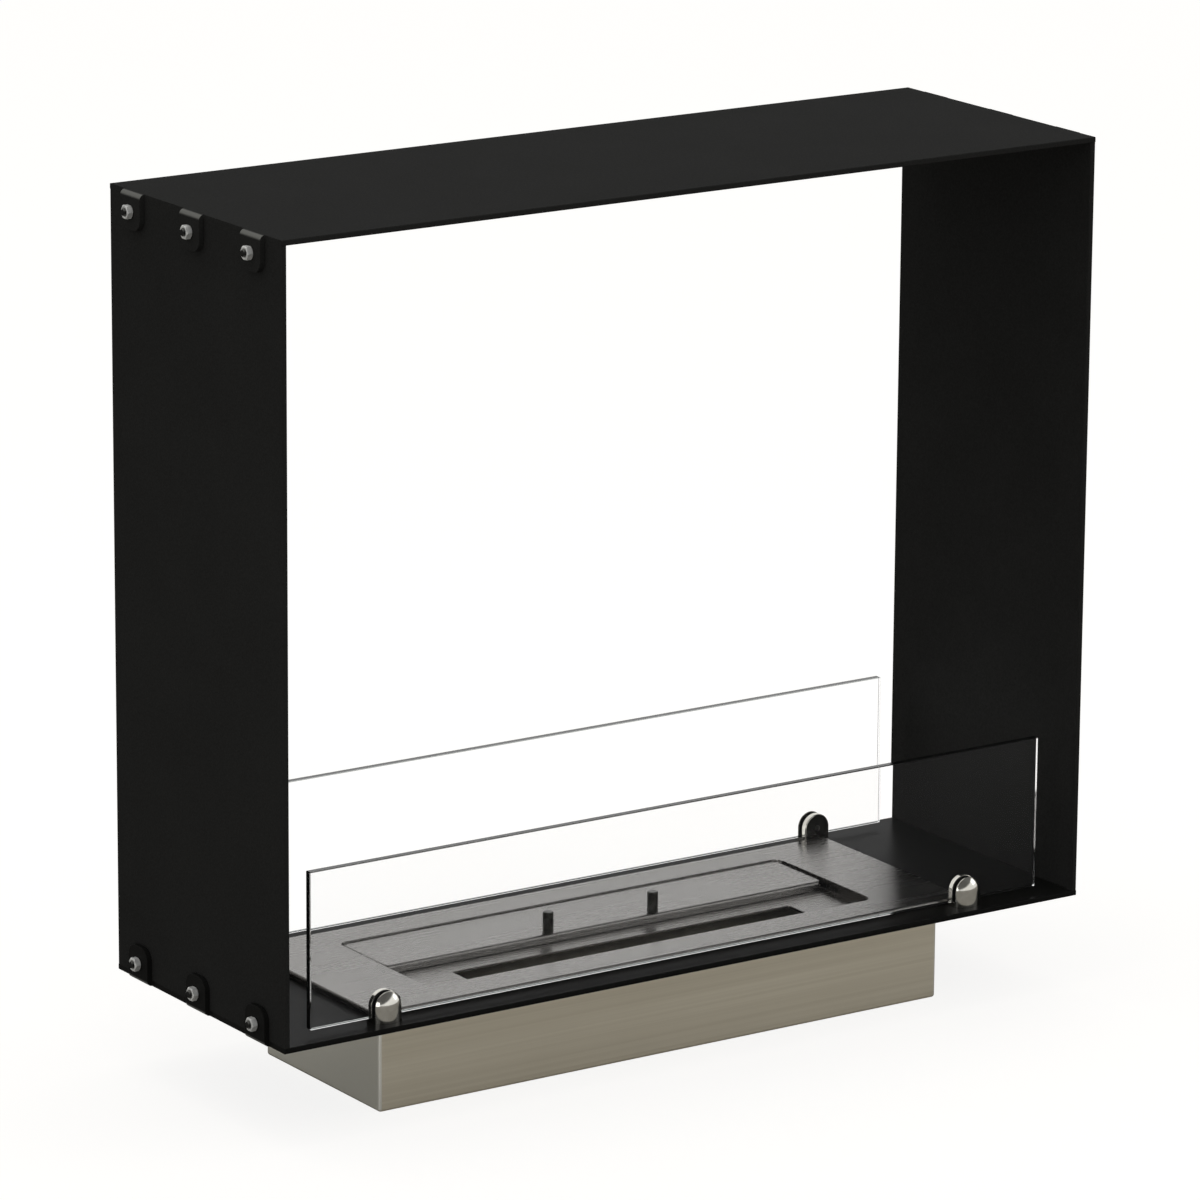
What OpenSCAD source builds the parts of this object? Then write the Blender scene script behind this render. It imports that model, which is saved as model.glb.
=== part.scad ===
/* [Frame] */
// Width of the frame across its side panels
frame_w = 600; // [560:1:900]
// Depth of the frame from front to back
frame_d = 200; // [170:1:300]
// Height of the frame over its top and bottom panels
frame_h = 500; // [300:1:800]
// Thickness of the four steel panels
panel_t = 3.5; // [2.5:0.5:5]
// Radius that softens the long edges of the panels
panel_edge_r = 0.6; // [0.2:0.1:1]

/* [Tabs, studs and nuts] */
// Width of one bent tab
tab_w = 23; // [18:1:30]
// Height of a tab, from the outer face of its panel to its free end
tab_h = 23.5; // [20:0.5:40]
// Radius of the two free corners of a tab
tab_r = 8; // [2:0.5:8.5]
// Distance from the panel's long edge to the middle of the first tab
tab_end = 30; // [18:1:40]
// Number of tabs at each end of a panel
tab_count = 3; // [2:1:4]
// Height of the studs, from the outer face of the tabs' panel
stud_rise = 12; // [10:0.5:14]
// Diameter of the weld studs
stud_d = 5; // [4:0.5:6]
// Length of stud that shows past its nut
stud_proud = 1.2; // [0.5:0.1:3]
// Size of the nuts across their flats
nut_af = 8; // [7.5:0.5:10]
// Height of the nuts
nut_h = 4; // [3:0.1:5]

/* [Glass screens] */
// Gap between the end of a glass screen and the side panel
glass_end_gap = 21.5; // [5:0.5:60]
// Height of a glass screen
glass_h = 100; // [60:1:180]
// Thickness of the glass
glass_t = 5; // [4:0.5:8]
// Width of the ground arris along every edge of the glass
glass_arris = 0.5; // [0.2:0.1:1]
// Distance from the frame's long edge to the middle of the glass
glass_inset = 14; // [13:0.5:18]
// Gap from the bottom panel up to the glass
glass_lift = 4; // [3:0.5:8]

/* [Glass clamps] */
// Distance from the end of the glass to the middle of a clamp
clamp_inset = 55; // [20:1:120]
// Width of a clamp
clamp_w = 19; // [16:0.5:22]
// Height of a clamp
clamp_h = 19.5; // [18:0.5:30]
// Thickness of the room's side jaw at its rim
outer_rim = 0.5; // [0.4:0.1:1.5]
// Height of the bow of that jaw's face over its rim
outer_bow = 4.4; // [2:0.1:5]
// Thickness of the jaw on the fire's side
inner_jaw = 3.8; // [3:0.1:6]
// Radius round the face of the inner jaw
inner_jaw_r = 0.8; // [0.3:0.1:1.5]
// Thickness of the rubber liner
liner_t = 0.7; // [0.5:0.1:1]
// Distance that the liner stays inside the clamp's outline
liner_step = 0.5; // [0.2:0.1:1]
// Diameter of the clamp's screws
clamp_screw_d = 4; // [3:0.5:5]
// Hexagon socket of the clamp's screws across its flats
socket_af = 2; // [1.5:0.5:2.5]
// Depth of the screws' sockets
socket_h = 2; // [1:0.1:2.5]

/* [Burner] */
// Length of the burner's deck
deck_w = 450; // [400:1:520]
// Height of the deck above the bottom panel
deck_rise = 4; // [3:0.5:8]
// Thickness of the stainless sheet
sheet_t = 1.5; // [1:0.1:2]
// Inner radius of the folds in the sheet
bend_r = 0.5; // [0.3:0.1:1]
// Extra radius of the upright corners over that of the folds
corner_ease = 0.2; // [0.1:0.1:4]
// Distance that the deck stands past the casing at its ends
end_flange = 12.5; // [8:0.5:30]
// Distance that the deck stands past the casing at its long sides
side_flange = 11.5; // [8:0.5:14]
// Depth of the casing below the frame
casing_drop = 63; // [40:1:120]

/* [Lid and flame slot] */
// Width of the deck's top at either end of the recess
recess_end = 55.5; // [40:0.5:80]
// Width of the deck's top in front of and behind the recess
recess_side = 25.5; // [20:0.5:30]
// Height of the deck's top over the recess's floor
recess_h = 7; // [6:0.5:12]
// Radius of the recess's corners
recess_r = 6; // [4:0.5:10]
// Distance from either end of the recess to the flame slot
slot_end = 40.5; // [20:0.5:80]
// Width of the flame slot
slot_d = 19; // [12:1:22]
// Radius of the slot's corners
slot_r = 1; // [0.5:0.5:3]
// Distance that the lid reaches past the middle of the recess
lid_lap = 0.5; // [0.5:0.5:3]
// Distance from the deck's top down to the lid's top
lid_drop = 1; // [0.5:0.1:2]
// Diameter of the lid's pins
pin_d = 7; // [5:0.5:9]
// Height of the lid's pins
pin_h = 14; // [8:1:30]
// Distance between the two pins
pin_pitch = 80; // [40:1:160]
// Sideways place of the pair of pins, from the middle of the lid
pin_shift = -4; // [-20:1:20]
// Diameter of the pins' shanks through the lid
shank_d = 3; // [2.5:0.5:4.5]
// Width that a shank's riveted end spreads all round
rivet_lip = 0.3; // [0.2:0.1:0.6]
// Height of the riveted end of a shank
rivet_h = 1; // [0.5:0.1:2]

/* [Fuel tank] */
// Distance that the tank stays inside the recess all round
tank_inset = 4.5; // [2:0.5:8]
// Thickness of the tank's sheet
tank_t = 1.2; // [0.8:0.1:2]
// Gap between the tank and the casing's floor
tank_clear = 5; // [2:0.5:15]
// Air space over the fibre block
fibre_gap = 10; // [5:1:20]

/* [Clearances] */
// Gap between the deck and the clamps' inner jaws
deck_gap = 0.5; // [0.4:0.1:2]
// Gap between the casing and the cut-out that it drops through
cut_gap = 1.2; // [0.5:0.1:2.5]
// Gap between the lid's ends and the recess
lid_end_gap = 1.5; // [0.5:0.1:3]
// Gap left at either end of the lid's travel
lid_stop_gap = 0.5; // [0.4:0.1:2]
// Gap under a piece that lifts or slides off its seat
seat_gap = 0.3; // [0.3:0.1:0.6]
// Gap round the studs in their tabs
stud_gap = 0.25; // [0.1:0.05:0.5]
// Gap round a thread or a shank in its hole
thread_gap = 0.05; // [0.02:0.01:0.1]
// Gap between the fibre block and the tank
fibre_play = 0.5; // [0.3:0.1:2]

/* [Hidden] */
$fn = 64;
// Chamfer on studs and pins
chamfer = 0.5;
// Extra depth that lets a cut run clear of a face
over = 1;

// Levels, measured up from the underside of the casing
floor_z = casing_drop + panel_t;
top_z = casing_drop + frame_h;
deck_z = floor_z + deck_rise;
deck_under_z = deck_z - sheet_t;
tray_z = deck_z - recess_h;
tray_under_z = tray_z - sheet_t;
lid_z = deck_z - lid_drop;
tank_z = sheet_t + tank_clear;

// Tabs stand in a row with equal steps
tab_step = (frame_d - 2 * tab_end) / (tab_count - 1);
tab_ys = [for (i = [0 : tab_count - 1]) -frame_d / 2 + tab_end + i * tab_step];
stud_len = panel_t + nut_h + stud_proud;

// The glass, its slot in the clamps and the jaws on both sides of it
glass_w = frame_w - 2 * (panel_t + glass_end_gap);
glass_y = frame_d / 2 - glass_inset;
clamp_x = glass_w / 2 - clamp_inset;
clamp_slot = glass_t + 2 * liner_t;
clamp_floor = glass_lift - liner_t;
clamp_arch_z = clamp_h - clamp_w / 2;
jaw_out = clamp_slot / 2 + outer_rim + outer_bow;
outer_bow_r = (pow(clamp_w / 2, 2) + pow(outer_bow, 2)) / (2 * outer_bow);
jaw_in = clamp_slot / 2 + inner_jaw;

// The deck fits between the clamps, and the casing hangs inside its flanges
deck_d = 2 * (glass_y - jaw_in - deck_gap);
casing_w = deck_w - 2 * end_flange;
casing_d = deck_d - 2 * side_flange;
fold_r = bend_r + sheet_t;
corner_r = fold_r + corner_ease;

// The recess is sunk in the middle of the deck, and the slot in its front half
recess_w = deck_w - 2 * recess_end;
recess_d = deck_d - 2 * recess_side;
slot_w = recess_w - 2 * slot_end;
slot_y = -recess_d / 4;

// The lid is half as deep as the recess and rests open against its back
lid_w = recess_w - 2 * lid_end_gap;
lid_d = recess_d / 2 + lid_lap;
lid_r = max(recess_r - lid_end_gap, corner_r);
lid_back_y = recess_d / 2 - lid_stop_gap;
lid_front_y = lid_back_y - lid_d;
lid_under_z = tray_z + seat_gap;
rivet_r = shank_d / 2 + rivet_lip;
pin_y = lid_front_y + fold_r + rivet_r;

tank_w = recess_w - 2 * tank_inset;
tank_d = recess_d - 2 * tank_inset;
tank_r = bend_r + tank_t + corner_ease;

// Flat outline with four equal round corners, centred
module rounded_rect(w, d, r) {
    square([w - 2 * r, d], center = true);
    square([w, d - 2 * r], center = true);
    for (x = [-1, 1], y = [-1, 1])
        translate([x * (w / 2 - r), y * (d / 2 - r)])
            circle(r);
}

// Flat outline with four equal chamfered corners, centred
module chamfered_rect(w, d, c) {
    x = w / 2;
    y = d / 2;
    polygon([
        [-x + c, -y], [x - c, -y], [x, -y + c], [x, y - c],
        [x - c, y], [-x + c, y], [-x, y - c], [-x, -y + c]
    ]);
}

// Rod with a chamfered far end, from the origin along +Z
module chamfered_rod(d, h, c) {
    rotate_extrude()
        polygon([[0, 0], [d / 2, 0], [d / 2, h - c], [d / 2 - c, h], [0, h]]);
}

// Folded sheet

// Section of a folded wall: its outer face on the axis, its fold at the bottom
module fold_section(h, t) {
    outer_r = bend_r + t;
    translate([-t, outer_r])
        square([t, h - outer_r]);
    intersection() {
        translate([-outer_r, outer_r])
            difference() {
                circle(outer_r);
                circle(bend_r);
            }
        translate([-outer_r, 0])
            square(outer_r);
    }
}

// Carries a section round a rectangle with round corners, its axis on the outline
module carried_round(w, d, r) {
    for (turn = [0 : 3]) {
        run = turn % 2 == 0 ? w : d;
        reach = turn % 2 == 0 ? d : w;
        rotate([0, 0, 90 * turn])
            translate([run / 2 - r, -reach / 2, 0]) {
                rotate([90, 0, -90])
                    linear_extrude(run - 2 * r)
                        children();
                translate([0, r, 0])
                    rotate([0, 0, -90])
                        rotate_extrude(angle = 90)
                            translate([r, 0])
                                children();
            }
    }
}

// Tray folded from even sheet with its mouth up and its underside on the origin
module folded_tray(w, d, h, r, t) {
    outer_r = bend_r + t;
    linear_extrude(t)
        rounded_rect(w - 2 * outer_r, d - 2 * outer_r, r - outer_r);
    carried_round(w, d, r)
        fold_section(h, t);
}

// Panels with bent tabs

// Outline of a tab's flat part, hanging from the origin, with its stud hole
module tab_outline() {
    flat = tab_h - panel_t;
    difference() {
        union() {
            translate([-tab_w / 2, -flat + tab_r])
                square([tab_w, flat - tab_r]);
            translate([-tab_w / 2 + tab_r, -flat])
                square([tab_w - 2 * tab_r, tab_r + over]);
            for (side = [-1, 1])
                translate([side * (tab_w / 2 - tab_r), -flat + tab_r])
                    circle(tab_r);
        }
        translate([0, panel_t - stud_rise])
            circle(d = stud_d + 2 * stud_gap);
    }
}

// Tab bent down over the +X end of a plate that lies from the origin upwards
module bent_tab() {
    rotate([90, 0, 0])
        rotate_extrude(angle = 90)
            translate([0, -tab_w / 2])
                square([panel_t, tab_w]);
    rotate([90, 0, 90])
        linear_extrude(panel_t)
            tab_outline();
}

// Plate with softened long edges and a row of tabs bent down at each end
module tabbed_plate() {
    translate([-frame_w / 2, 0, panel_t / 2])
        rotate([90, 0, 90])
            linear_extrude(frame_w)
                rounded_rect(frame_d, panel_t, panel_edge_r);
    for (turn = [0, 180], y = tab_ys)
        rotate([0, 0, turn])
            translate([frame_w / 2, y, 0])
                bent_tab();
}

module top_panel() {
    color("#242422")
        translate([0, 0, top_z - panel_t])
            tabbed_plate();
}

module bottom_panel() {
    color("#2a2a28")
        difference() {
            translate([0, 0, floor_z])
                rotate([180, 0, 0])
                    tabbed_plate();
            translate([0, 0, casing_drop - over])
                linear_extrude(panel_t + 2 * over)
                    rounded_rect(casing_w + 2 * cut_gap, casing_d + 2 * cut_gap, corner_r + cut_gap);
            for (x = [-1, 1], y = [-1, 1])
                at_clamp(x, y)
                    base_screw_shape(thread_gap, over);
        }
}

// Flat plate between the top and bottom panels, on the given side
module side_panel(side) {
    translate([side * (frame_w - panel_t) / 2, 0, floor_z])
        linear_extrude(frame_h - 2 * panel_t)
            rounded_rect(panel_t, frame_d, panel_edge_r);
}

module left_panel() {
    color("#1f1f1d")
        side_panel(-1);
}

module right_panel() {
    color("#1f1f1d")
        side_panel(1);
}

// Studs and nuts

// Puts its children at each stud's root, with +Z pointing out of the side panel
module at_studs(side) {
    for (y = tab_ys, z = [casing_drop + stud_rise, top_z - stud_rise])
        translate([side * frame_w / 2, y, z])
            rotate([0, side * 90, 0])
                children();
}

module studs(side) {
    at_studs(side)
        chamfered_rod(stud_d, stud_len, chamfer);
}

// Hexagon nut with its corners turned down at both ends
module nut() {
    corner_r = nut_af / 2 / cos(30);
    bevel = (corner_r - nut_af / 2) * tan(30);
    difference() {
        intersection() {
            cylinder(r = corner_r, h = nut_h, $fn = 6);
            rotate_extrude()
                polygon([
                    [0, 0], [nut_af / 2, 0], [corner_r, bevel],
                    [corner_r, nut_h - bevel], [nut_af / 2, nut_h], [0, nut_h]
                ]);
        }
        translate([0, 0, -over])
            cylinder(d = stud_d + 2 * thread_gap, h = nut_h + 2 * over);
    }
}

module nuts(side) {
    at_studs(side)
        translate([0, 0, panel_t])
            nut();
}

module left_panel_studs() {
    color("#2b2b2b")
        studs(-1);
}

module right_panel_studs() {
    color("#2b2b2b")
        studs(1);
}

module left_panel_nuts() {
    color("silver")
        nuts(-1);
}

module right_panel_nuts() {
    color("silver")
        nuts(1);
}

// Glass screens

// Strip of glass with an arris ground along every edge, on the given long side
module glass_screen(side) {
    translate([0, side * glass_y, floor_z + glass_lift + glass_h / 2])
        intersection() {
            translate([-glass_w / 2, 0, 0])
                rotate([90, 0, 90])
                    linear_extrude(glass_w)
                        chamfered_rect(glass_t, glass_h, glass_arris);
            translate([0, glass_t / 2, 0])
                rotate([90, 0, 0])
                    linear_extrude(glass_t)
                        chamfered_rect(glass_w, glass_h, glass_arris);
            translate([0, 0, -glass_h / 2])
                linear_extrude(glass_h)
                    chamfered_rect(glass_w, glass_t, glass_arris);
        }
}

module front_glass() {
    color("#dfe9e6", 0.35)
        glass_screen(-1);
}

module rear_glass() {
    color("#dfe9e6", 0.35)
        glass_screen(1);
}

// Clamps: in their own frame they stand on the origin with the glass over it,
// the outer jaw towards -Y

module at_clamp(x_side, y_side) {
    translate([x_side * clamp_x, y_side * glass_y, floor_z])
        rotate([0, 0, y_side < 0 ? 0 : 180])
            children();
}

// Plan of a clamp across both jaws: its outer face is bowed from side to side,
// and its inner face is flat with rounded edges
module clamp_plan() {
    intersection() {
        translate([-clamp_w / 2, -jaw_out])
            square([clamp_w, jaw_out]);
        translate([0, outer_bow_r - jaw_out])
            circle(outer_bow_r);
    }
    translate([-clamp_w / 2, -over])
        square([clamp_w, jaw_in - inner_jaw_r + over]);
    translate([-clamp_w / 2 + inner_jaw_r, jaw_in - inner_jaw_r - over])
        square([clamp_w - 2 * inner_jaw_r, inner_jaw_r + over]);
    for (side = [-1, 1])
        translate([side * (clamp_w / 2 - inner_jaw_r), jaw_in - inner_jaw_r])
            circle(inner_jaw_r);
}

// Upright foot, and a head turned from the same plan, so that its bow is a dome
module clamp_blank() {
    linear_extrude(clamp_arch_z)
        clamp_plan();
    translate([0, 0, clamp_arch_z])
        rotate([-90, 0, 0])
            rotate([0, 0, 180])
                rotate_extrude(angle = 180)
                    intersection() {
                        clamp_plan();
                        translate([0, -jaw_out])
                            square([clamp_w, jaw_out + jaw_in]);
                    }
}

module clamp_body() {
    difference() {
        clamp_blank();
        translate([-clamp_w, -clamp_slot / 2, clamp_floor])
            cube([2 * clamp_w, clamp_slot, clamp_h]);
        base_screw_shape(thread_gap, over);
        translate([0, 0, clamp_arch_z])
            rotate([-90, 0, 0])
                cylinder(d = clamp_screw_d + 2 * thread_gap, h = jaw_in + over);
    }
}

// Rubber lining of the slot, in the clamp's outline, wrapped under the glass
module liner_body() {
    liner_w = clamp_w - 2 * liner_step;
    difference() {
        translate([0, clamp_slot / 2, 0])
            rotate([90, 0, 0])
                linear_extrude(clamp_slot)
                    difference() {
                        union() {
                            translate([-liner_w / 2, clamp_floor])
                                square([liner_w, clamp_arch_z - clamp_floor]);
                            translate([0, clamp_arch_z])
                                circle(d = liner_w);
                        }
                        translate([-clamp_w, -clamp_h])
                            square([2 * clamp_w, clamp_h + clamp_floor]);
                    }
        translate([-clamp_w, -glass_t / 2, glass_lift])
            cube([2 * clamp_w, glass_t, clamp_h]);
    }
}

// Set screw through the inner jaw, with its socket on the fire's side
module set_screw() {
    translate([0, clamp_slot / 2, clamp_arch_z])
        rotate([-90, 0, 0])
            difference() {
                cylinder(d = clamp_screw_d, h = inner_jaw);
                translate([0, 0, inner_jaw - socket_h])
                    cylinder(r = socket_af / 2 / cos(30), h = socket_h + over, $fn = 6);
            }
}

// Countersunk screw from under the panel into the clamp's foot, grown by a gap;
// its hole runs on by the given length at both ends
module base_screw_shape(gap, run) {
    head_h = clamp_screw_d / 2;
    shank_r = clamp_screw_d / 2 + gap;
    head_r = clamp_screw_d + gap;
    translate([0, 0, -panel_t])
        rotate_extrude()
            polygon([
                [0, -run], [head_r, -run], [head_r, 0], [shank_r, head_h],
                [shank_r, panel_t + clamp_floor + run], [0, panel_t + clamp_floor + run]
            ]);
}

module base_screw() {
    difference() {
        base_screw_shape(0, 0);
        translate([0, 0, -panel_t - over])
            cylinder(r = socket_af / 2 / cos(30), h = over + socket_h, $fn = 6);
    }
}

module clamp_front_left() {
    color("#b9b9b4")
        at_clamp(-1, -1)
            clamp_body();
}

module clamp_front_right() {
    color("#b9b9b4")
        at_clamp(1, -1)
            clamp_body();
}

module clamp_rear_left() {
    color("#b9b9b4")
        at_clamp(-1, 1)
            clamp_body();
}

module clamp_rear_right() {
    color("#b9b9b4")
        at_clamp(1, 1)
            clamp_body();
}

module liner_front_left() {
    color("#161616")
        at_clamp(-1, -1)
            liner_body();
}

module liner_front_right() {
    color("#161616")
        at_clamp(1, -1)
            liner_body();
}

module liner_rear_left() {
    color("#161616")
        at_clamp(-1, 1)
            liner_body();
}

module liner_rear_right() {
    color("#161616")
        at_clamp(1, 1)
            liner_body();
}

module clamp_set_screws() {
    color("#6f6f6c")
        for (x = [-1, 1], y = [-1, 1])
            at_clamp(x, y)
                set_screw();
}

module clamp_base_screws() {
    color("#8c8c88")
        for (x = [-1, 1], y = [-1, 1])
            at_clamp(x, y)
                base_screw();
}

// Burner

// Shallow cover with folded edges that hangs over the cut-out, open at the recess
module burner_deck() {
    color("#a3a3a0")
        translate([0, 0, deck_z])
            difference() {
                rotate([180, 0, 0])
                    folded_tray(deck_w, deck_d, deck_rise - seat_gap, corner_r, sheet_t);
                translate([0, 0, -sheet_t - over])
                    linear_extrude(sheet_t + 2 * over)
                        rounded_rect(recess_w, recess_d, recess_r);
            }
}

// Sunk floor and walls of the recess, with the flame slot
module lid_tray() {
    color("#90908a")
        difference() {
            translate([0, 0, tray_under_z])
                folded_tray(recess_w + 2 * sheet_t, recess_d + 2 * sheet_t,
                    deck_under_z - tray_under_z, recess_r + sheet_t, sheet_t);
            translate([0, slot_y, tray_under_z - over])
                linear_extrude(sheet_t + 2 * over)
                    rounded_rect(slot_w, slot_d, slot_r);
        }
}

module burner_casing() {
    color("#8f8a7c")
        folded_tray(casing_w, casing_d, deck_under_z, corner_r, sheet_t);
}

module fuel_tank() {
    color("#85857f")
        translate([0, 0, tank_z])
            folded_tray(tank_w, tank_d, tray_under_z - tank_z, tank_r, tank_t);
}

// Ceramic fibre that fills the tank up to the air space under the slot
module fibre_block() {
    inner = tank_t + fibre_play;
    color("#d8d4c8")
        translate([0, 0, tank_z + tank_t])
            linear_extrude(tray_under_z - fibre_gap - tank_z - tank_t)
                rounded_rect(tank_w - 2 * inner, tank_d - 2 * inner, bend_r);
}

// Lid

module at_pins() {
    for (side = [-1, 1])
        translate([pin_shift + side * pin_pitch / 2, pin_y, lid_z])
            children();
}

module sliding_lid() {
    color("#a9a9a6")
        difference() {
            translate([0, (lid_front_y + lid_back_y) / 2, lid_z])
                rotate([180, 0, 0])
                    folded_tray(lid_w, lid_d, lid_z - lid_under_z, lid_r, sheet_t);
            at_pins()
                translate([0, 0, -sheet_t - over])
                    cylinder(d = shank_d + 2 * thread_gap, h = sheet_t + 2 * over);
        }
}

// Upright pins with their shanks riveted under the lid
module lid_pins() {
    color("#5d5d5a")
        at_pins() {
            chamfered_rod(pin_d, pin_h, chamfer);
            translate([0, 0, -sheet_t])
                cylinder(d = shank_d, h = sheet_t + chamfer);
            translate([0, 0, -sheet_t - rivet_h])
                cylinder(r = rivet_r, h = rivet_h);
        }
}

top_panel();
bottom_panel();
left_panel();
right_panel();
left_panel_studs();
right_panel_studs();
left_panel_nuts();
right_panel_nuts();
front_glass();
rear_glass();
clamp_front_left();
clamp_front_right();
clamp_rear_left();
clamp_rear_right();
liner_front_left();
liner_front_right();
liner_rear_left();
liner_rear_right();
clamp_set_screws();
clamp_base_screws();
burner_deck();
lid_tray();
burner_casing();
fuel_tank();
fibre_block();
sliding_lid();
lid_pins();
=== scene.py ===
"""Looks of a see-through bioethanol fireplace in a black steel frame.

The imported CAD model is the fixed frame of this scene. The script dresses its
nodes with procedural finishes, replaces the welded studs, the nuts and the
ceramic fibre block with fuller surfaces worked out from formulas, and sets up
the camera and a plain white studio. Lengths are in metres unless a name says
otherwise, in the part's own frame: X runs along the panels, Y to the back and
Z up from what the burner's casing stands on.
"""

import logging
import math
from collections.abc import Mapping, Sequence
from dataclasses import dataclass, field
from enum import Enum
from typing import Any

import bpy
import numpy as np
from mathutils import Matrix, Vector

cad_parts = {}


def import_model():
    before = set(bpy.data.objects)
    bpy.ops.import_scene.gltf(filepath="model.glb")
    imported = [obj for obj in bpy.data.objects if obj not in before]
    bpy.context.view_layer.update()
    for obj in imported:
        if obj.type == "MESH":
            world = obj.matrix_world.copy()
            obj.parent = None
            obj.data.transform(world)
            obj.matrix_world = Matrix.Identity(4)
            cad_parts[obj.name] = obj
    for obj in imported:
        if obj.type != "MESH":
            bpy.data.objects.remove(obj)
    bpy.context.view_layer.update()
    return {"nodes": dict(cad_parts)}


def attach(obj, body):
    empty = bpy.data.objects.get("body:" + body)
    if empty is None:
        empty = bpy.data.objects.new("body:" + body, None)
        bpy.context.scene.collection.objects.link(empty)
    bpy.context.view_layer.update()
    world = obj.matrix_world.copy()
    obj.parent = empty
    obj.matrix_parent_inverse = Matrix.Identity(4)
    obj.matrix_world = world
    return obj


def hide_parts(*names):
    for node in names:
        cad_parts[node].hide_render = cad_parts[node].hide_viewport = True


log = logging.getLogger("fireplace")

MM = 0.001
WHITE = "#ffffff"

# Sockets of Blender's Mix node by place, because their names repeat
MIX_FACTOR, MIX_NUMBER_A, MIX_NUMBER_B, MIX_COLOUR_A, MIX_COLOUR_B = 0, 2, 3, 6, 7
MIX_COLOUR_OUT = 2


# ---------------------------------------------------------------- shared tools


def linear(hex_colour: str) -> tuple[float, float, float, float]:
    """Turns an sRGB hex value into linear red, green, blue and alpha.

    Args:
        hex_colour: The colour as "#rrggbb".

    Returns:
        Linear red, green and blue from 0 to 1, and an alpha of 1.
    """
    share = np.array([int(hex_colour[i:i + 2], 16) for i in (1, 3, 5)]) / 255
    curve = np.where(share <= 0.04045, share / 12.92, ((share + 0.055) / 1.055) ** 2.4)
    return (*curve.tolist(), 1.0)


def add_node(
    tree: bpy.types.NodeTree,
    kind: str,
    settings: Mapping[str | int, Any] | None = None,
    links: Mapping[str | int, bpy.types.NodeSocket] | None = None,
) -> bpy.types.Node:
    """Adds one node with its settings and its incoming links.

    Args:
        tree: The node tree that gets the node.
        kind: Blender's name for the kind of node.
        settings: Values by property name, or by input name or place. The value
            of a colour ramp is its stops in turn, each a place and a hex colour.
        links: The output sockets that feed inputs, by input name or place.

    Returns:
        The new node.
    """
    node = tree.nodes.new(kind)
    for key, value in (settings or {}).items():
        if key == "color_ramp":
            for stop, (place, colour) in zip(node.color_ramp.elements, value, strict=True):
                stop.position, stop.color = place, linear(colour)
        elif isinstance(key, str) and hasattr(node, key):
            setattr(node, key, value)
        else:
            node.inputs[key].default_value = value
    for key, source in (links or {}).items():
        tree.links.new(source, node.inputs[key])
    return node


class Ends(Enum):
    """How the first and last ring of a carried profile are closed."""

    CAPPED = "a flat fan of faces round a centre point"
    JOINED = "the last ring is joined back to the first"


def ring_faces(rings: int, around: int, ends: Ends) -> list[tuple[int, ...]]:
    """Lists the faces of a grid of rings, all facing outwards.

    Ring i and place j are vertex i * around + j. Going round by j is counter-
    clockwise seen from where the rings head, so the quad (i, j), (i, j + 1),
    (i + 1, j + 1), (i + 1, j) faces away from the axis.

    Args:
        rings: How many rings there are.
        around: How many points each ring has.
        ends: How the two ends are closed. CAPPED takes two more vertices, the
            centre of the first ring and then that of the last.

    Returns:
        The vertex numbers of each face.
    """
    spans = rings if ends is Ends.JOINED else rings - 1
    i, j = np.meshgrid(np.arange(spans), np.arange(around), indexing="ij")
    after_i, after_j = (i + 1) % rings, (j + 1) % around
    quads = np.stack(
        [i * around + j, i * around + after_j, after_i * around + after_j, after_i * around + j],
        axis=-1,
    ).reshape(-1, 4)
    faces: list[tuple[int, ...]] = [tuple(q) for q in quads.tolist()]
    if ends is Ends.CAPPED:
        here = np.arange(around)
        there = (here + 1) % around
        first, last = rings * around, rings * around + 1
        top = (rings - 1) * around
        faces += [tuple(t) for t in np.stack([np.full(around, first), there, here], 1).tolist()]
        faces += [
            tuple(t)
            for t in np.stack([np.full(around, last), top + here, top + there], 1).tolist()
        ]
    return faces


def ring_points(rings: np.ndarray, ends: Ends) -> np.ndarray:
    """Flattens a (rings, around, 3) grid to the vertices that ring_faces numbers.

    Args:
        rings: The grid of points.
        ends: How the two ends are closed.

    Returns:
        The vertices, with the two end centres last where the ends are capped.
    """
    flat = rings.reshape(-1, 3)
    if ends is Ends.CAPPED:
        flat = np.vstack([flat, rings[0].mean(axis=0), rings[-1].mean(axis=0)])
    return flat


def make_piece(
    name: str,
    copies: Sequence[np.ndarray],
    ends: Ends,
    sharp_degrees: float,
) -> bpy.types.Object:
    """Makes one mesh object from one or more grids of rings.

    Args:
        name: The piece's name.
        copies: One (rings, around, 3) grid for each separate shell.
        ends: How each shell's ends are closed.
        sharp_degrees: Edges that turn by more than this are shaded sharp.

    Returns:
        The object, at the origin, with its place in its mesh.
    """
    points: list[np.ndarray] = []
    faces: list[tuple[int, ...]] = []
    start = 0
    for grid in copies:
        vertices = ring_points(grid, ends)
        faces += [
            tuple(start + v for v in face) for face in ring_faces(*grid.shape[:2], ends)
        ]
        points.append(vertices)
        start += len(vertices)
    mesh = bpy.data.meshes.new(name)
    mesh.from_pydata(np.vstack(points).tolist(), [], faces)
    mesh.shade_smooth()
    mesh.set_sharp_from_angle(angle=math.radians(sharp_degrees))
    mesh.validate()
    piece = bpy.data.objects.new(name, mesh)
    bpy.context.scene.collection.objects.link(piece)
    return piece


# -------------------------------------------------------------------- finishes


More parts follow.
